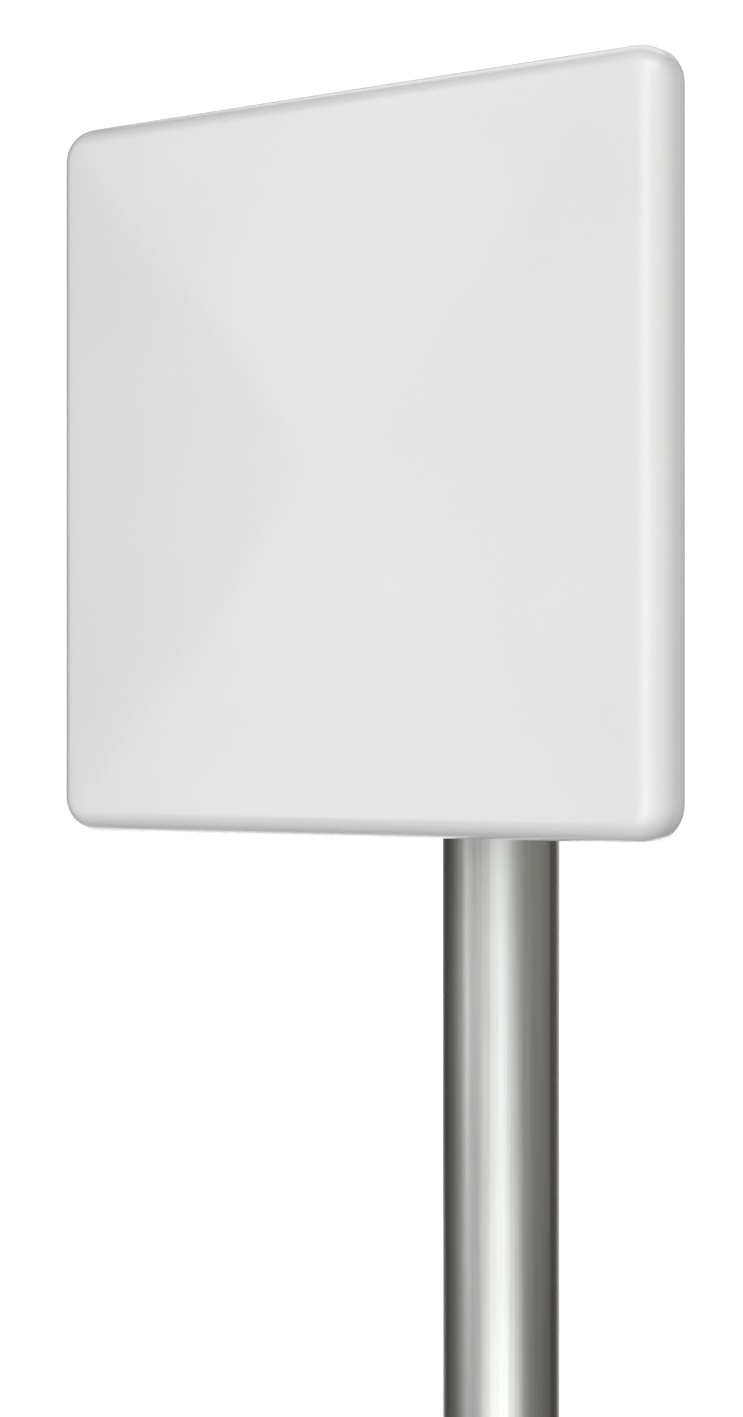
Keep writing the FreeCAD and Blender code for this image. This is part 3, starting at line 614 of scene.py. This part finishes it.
def bolt_rows(box, direction, radius, pitch, thread, across_flats, head):
    """Hex-head bolt that fills a box along direction, with its head at the start."""
    low, high = box
    middle = (low + high) / 2
    half = abs((high - low).dot(direction)) / 2
    length = 2 * half - head
    route = straight(middle - direction * (half - head), direction)
    face = across_flats / 2 * HEAD_FACE
    rows = [point_row(route, HEAD_DISH - head)]
    rows.append(ring_row(route, HEAD_DISH - head, face - 2 * HEAD_RIM))
    rows.append(ring_row(route, -head, face - HEAD_RIM))
    rows.append(ring_row(route, -head, face))
    rows.append(hex_row(route, -head, across_flats, turned=True))
    rows.append(hex_row(route, 0, across_flats))
    shank = rod_rows(route, length, radius, pitch, [(length - thread, length)], blunt_start=True)
    return rows + shank + [point_row(route, length)]


def stud_rows(box, radius, pitch):
    """Stud that fills a box along +Y, threaded to its rear end."""
    low, high = box
    origin = Vector(((low.x + high.x) / 2, low.y, (low.z + high.z) / 2))
    length = high.y - low.y
    route = straight(origin, REARWARD)
    rod = rod_rows(route, length, radius, pitch, [(STUD_PLAIN, length)])
    return [point_row(route, 0)] + rod + [point_row(route, length)]


def threaded_pieces():
    """Hex bolts and studs, each in the place of its CAD solid."""
    locks = []
    for box in solids_of("tilt_lock_bolts"):
        outward = ACROSS if box[0].x > 0 else -ACROSS
        locks.append(bolt_rows(box, outward, *M6_BOLT))
    pieces = [
        ("tilt_bolt", "antenna", [bolt_rows(box, -ACROSS, *M8_BOLT) for box in solids_of("tilt_bolt")]),
        ("swivel_bolt", "mast_clamp", [bolt_rows(box, -UP, *M8_BOLT) for box in solids_of("swivel_bolt")]),
        ("tilt_lock_bolts", "yoke", locks),
        ("bracket_studs", "antenna", [stud_rows(box, M6, M6_PITCH) for box in solids_of("bracket_studs")]),
    ]
    for node, body, row_sets in pieces:
        name = node + "_threaded"
        add_piece(name, skin(name, row_sets), body, "zinc_fasteners", node)


def u_bolt_piece(node):
    """Round bar bent round the mast, with a thread on the end of each leg."""
    low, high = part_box(node)
    bend = high.x - M8
    leg = -low.y
    middle = Vector((0, 0, (low.z + high.z) / 2))
    arc = math.pi * bend

    def route(along):
        if along < leg:
            centre, forward = middle + Vector((bend, along - leg, 0)), REARWARD
        elif along > leg + arc:
            centre, forward = middle - Vector((bend, along - leg - arc, 0)), -REARWARD
        else:
            a = (along - leg) / bend
            centre = middle + Vector((math.cos(a), math.sin(a), 0)) * bend
            forward = Vector((-math.sin(a), math.cos(a), 0))
        return centre, UP.cross(forward), UP

    length = 2 * leg + arc
    threads = [(0, U_BOLT_THREAD), (length - U_BOLT_THREAD, length)]
    rod = rod_rows(route, length, M8, M8_PITCH, threads, U_BOLT_STEP)
    rows = [point_row(route, 0)] + rod + [point_row(route, length)]
    name = node + "_threaded"
    add_piece(name, skin(name, [rows]), "mast_clamp", "zinc_fasteners", node)


# ---- connector ----
BARREL_R = 7.94 * MM
BARREL_PITCH = 1.058 * MM
BARREL_THREAD = 13.5 * MM
BARREL_TIP = 0.3 * MM  # left plain beyond the thread
SLEEVE_INSIDE = 0.1 * MM  # the threaded sleeve reaches this far into the barrel
SLEEVE_OUTSIDE = 0.35 * MM  # and stands this far out of it


def connector_thread():
    """Fine thread round the connector's barrel."""
    low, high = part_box("connector_body")
    start = high.y - BARREL_THREAD - BARREL_TIP
    route = straight(Vector(((low.x + high.x) / 2, start, (low.z + high.z) / 2)), REARWARD)
    inner = BARREL_R - SLEEVE_INSIDE
    outer = BARREL_R + SLEEVE_OUTSIDE
    first = ring_row(route, 0, inner)
    outside = rod_rows(route, BARREL_THREAD, outer, BARREL_PITCH, [(BARREL_PITCH, BARREL_THREAD)])
    rows = [first] + outside + [ring_row(route, BARREL_THREAD, inner), first]
    add_piece("connector_thread", skin("connector_thread", [rows]), "antenna", "nickel_plate")


# ---- edges of the pieces that keep their CAD shape ----
def soften(width, *nodes):
    """Breaks the sharp edges of CAD pieces with a small rounding."""
    for node in nodes:
        piece = frame["nodes"][node]
        weld = piece.modifiers.new("weld", "WELD")
        weld.merge_threshold = 0.002 * MM
        bevel = piece.modifiers.new("edges", "BEVEL")
        bevel.width = width
        bevel.segments = 2
        bevel.limit_method = "ANGLE"
        bevel.angle_limit = 40 * DEGREE
        bevel.harden_normals = True


make_camera()
make_lights()
make_world()
make_floor()
finish_cad_nodes()
radome_cover()
threaded_pieces()
u_bolt_piece("upper_u_bolt")
u_bolt_piece("lower_u_bolt")
connector_thread()
soften(0.35 * MM, "clamp_bracket", "swivel_yoke", "antenna_bracket", "mast_cap")
soften(0.5 * MM, "upper_saddle", "lower_saddle")

bpy.context.scene.view_settings.view_transform = "Standard"
